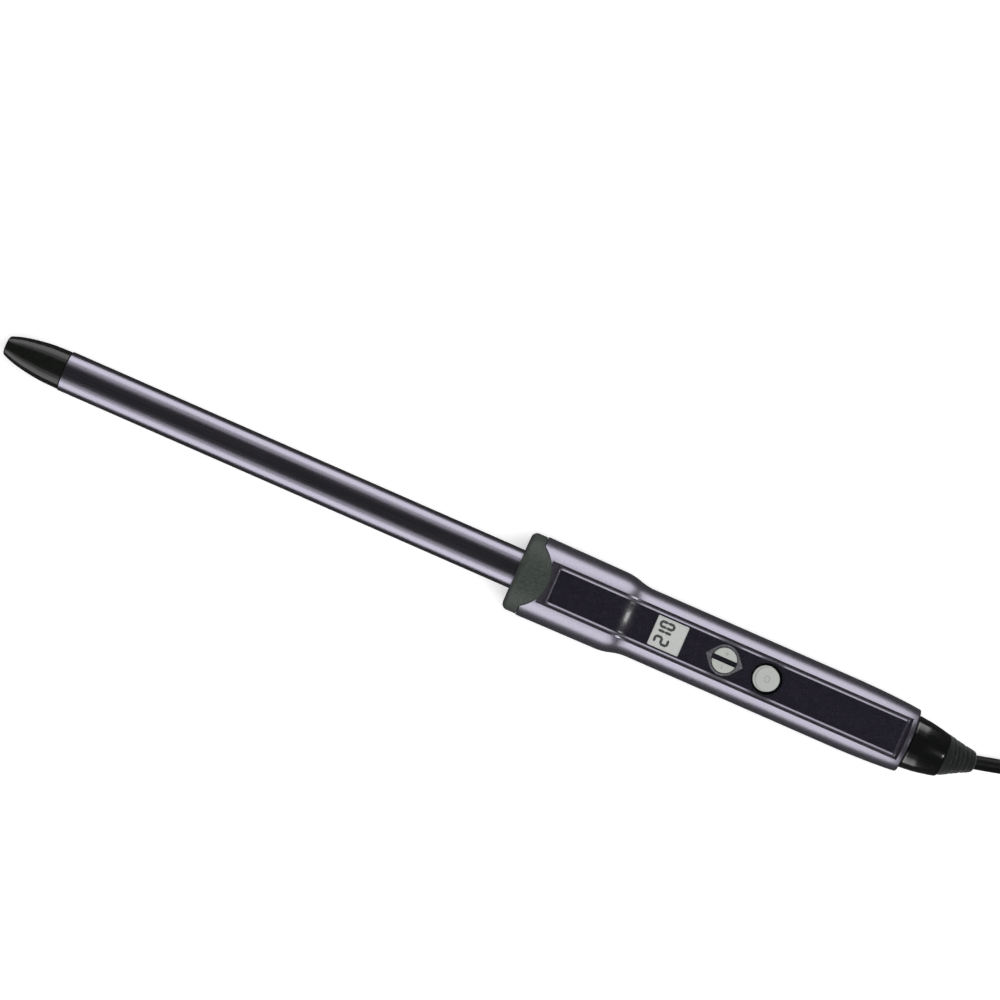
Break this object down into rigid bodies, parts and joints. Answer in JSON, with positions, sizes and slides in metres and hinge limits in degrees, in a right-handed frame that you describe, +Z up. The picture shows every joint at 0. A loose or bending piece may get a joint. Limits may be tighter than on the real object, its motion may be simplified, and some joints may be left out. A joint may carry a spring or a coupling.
{
  "type": "curling wand",
  "caption": "Straight round-barrel curling wand with a cool tip, dark metallic handle, digital temperature display, split key, power button and turning cord exit.",
  "frame": {"origin": "on the surface that the wand lies on, under the middle of the wand's length and width, without its cord and plug", "axes": "+X along the barrel's axis from the tip towards the cord, +Z up out of the control panel, +Y to the plus key's side"},
  "size_m": [0.5651, 0.0556, 0.0325],
  "materials": {
    "anodised_aluminium": "dark violet anodised, satin",
    "metallic_handle": "dark violet metallic lacquer",
    "tip_black": "glossy black, heat resistant",
    "collar_grey": "matte dark green-grey",
    "panel_dark": "very dark violet, glossy",
    "window_clear": "clear acrylic window",
    "display_silver": "silver-grey reflective display",
    "key_grey": "fine-textured light grey",
    "bezel_dark": "polished black",
    "hub_black": "glossy black",
    "boot_rubber": "matte black elastomer",
    "cord_pvc": "matte black PVC",
    "plug_black": "satin black PVC",
    "pin_brass": "nickel plated",
    "strap_black": "woven hook-and-loop strap",
    "plain_aluminium": "extruded",
    "ceramic_white": "unglazed",
    "steel_zinc": "zinc plated",
    "contact_metal": "bright",
    "board_green": "solder-masked laminate",
    "component_black": "moulded epoxy",
    "component_yellow": "film capacitor case",
    "nylon_natural": "natural nylon",
    "silicone_wire": "silicone insulation"
  },
  "bodies": {
    "handle": {"tip_cap": "tip_black", "tip_insert": "ceramic_white", "tip_screw": "steel_zinc", "barrel_tube": "anodised_aluminium", "heat_spreader_upper": "plain_aluminium", "heat_spreader_lower": "plain_aluminium", "ptc_heater": "ceramic_white", "electrode_strips": "contact_metal", "insulating_plates": "ceramic_white", "temperature_sensor": "component_black", "thermal_fuse": "steel_zinc", "barrel_holder": "ceramic_white", "holder_screws": "steel_zinc", "collar": "collar_grey", "upper_shell": "metallic_handle", "lower_shell": "metallic_handle", "case_screws": "steel_zinc", "control_panel": "panel_dark", "display_lens": "window_clear", "display_module": "display_silver", "display_frame": "nylon_natural", "key_bezel": "bezel_dark", "power_bezel": "bezel_dark", "circuit_board": "board_green", "board_screws": "steel_zinc", "tactile_switches": "component_black", "terminal_block": "nylon_natural", "heater_leads": "silicone_wire", "internal_leads": "silicone_wire", "microcontroller": "component_black", "triac": "component_black", "film_capacitor": "component_yellow", "electrolytic_capacitor": "component_black", "dropper_resistor": "ceramic_white", "swivel_bush": "nylon_natural", "brush_holder": "nylon_natural", "contact_brushes": "contact_metal"},
    "plus_key": {"plus_key": "key_grey"},
    "minus_key": {"minus_key": "key_grey"},
    "power_button": {"power_button": "key_grey"},
    "cord_exit": {"swivel_hub": "hub_black", "slip_rings": "contact_metal", "swivel_retainer": "steel_zinc", "strain_relief": "boot_rubber", "cord": "cord_pvc", "cord_hank": "cord_pvc", "cord_tie": "strap_black", "cord_tail": "cord_pvc", "plug_body": "plug_black", "plug_pins": "pin_brass", "plug_relief": "plug_black"}
  },
  "joints": [
    {"name": "plus_key_press", "type": "slide", "parent": "handle", "child": "plus_key", "axis": [0, 0, -1], "range_m": [0, 0.0008], "stiffness_N_per_m": 400},
    {"name": "minus_key_press", "type": "slide", "parent": "handle", "child": "minus_key", "axis": [0, 0, -1], "range_m": [0, 0.0008], "stiffness_N_per_m": 400},
    {"name": "power_button_press", "type": "slide", "parent": "handle", "child": "power_button", "axis": [0, 0, -1], "range_m": [0, 0.0008], "stiffness_N_per_m": 400},
    {"name": "cord_swivel", "type": "hinge", "parent": "handle", "child": "cord_exit", "pos_m": [0.18151, 0, 0.0163], "axis": [1, 0, 0], "continuous": true}
  ]
}
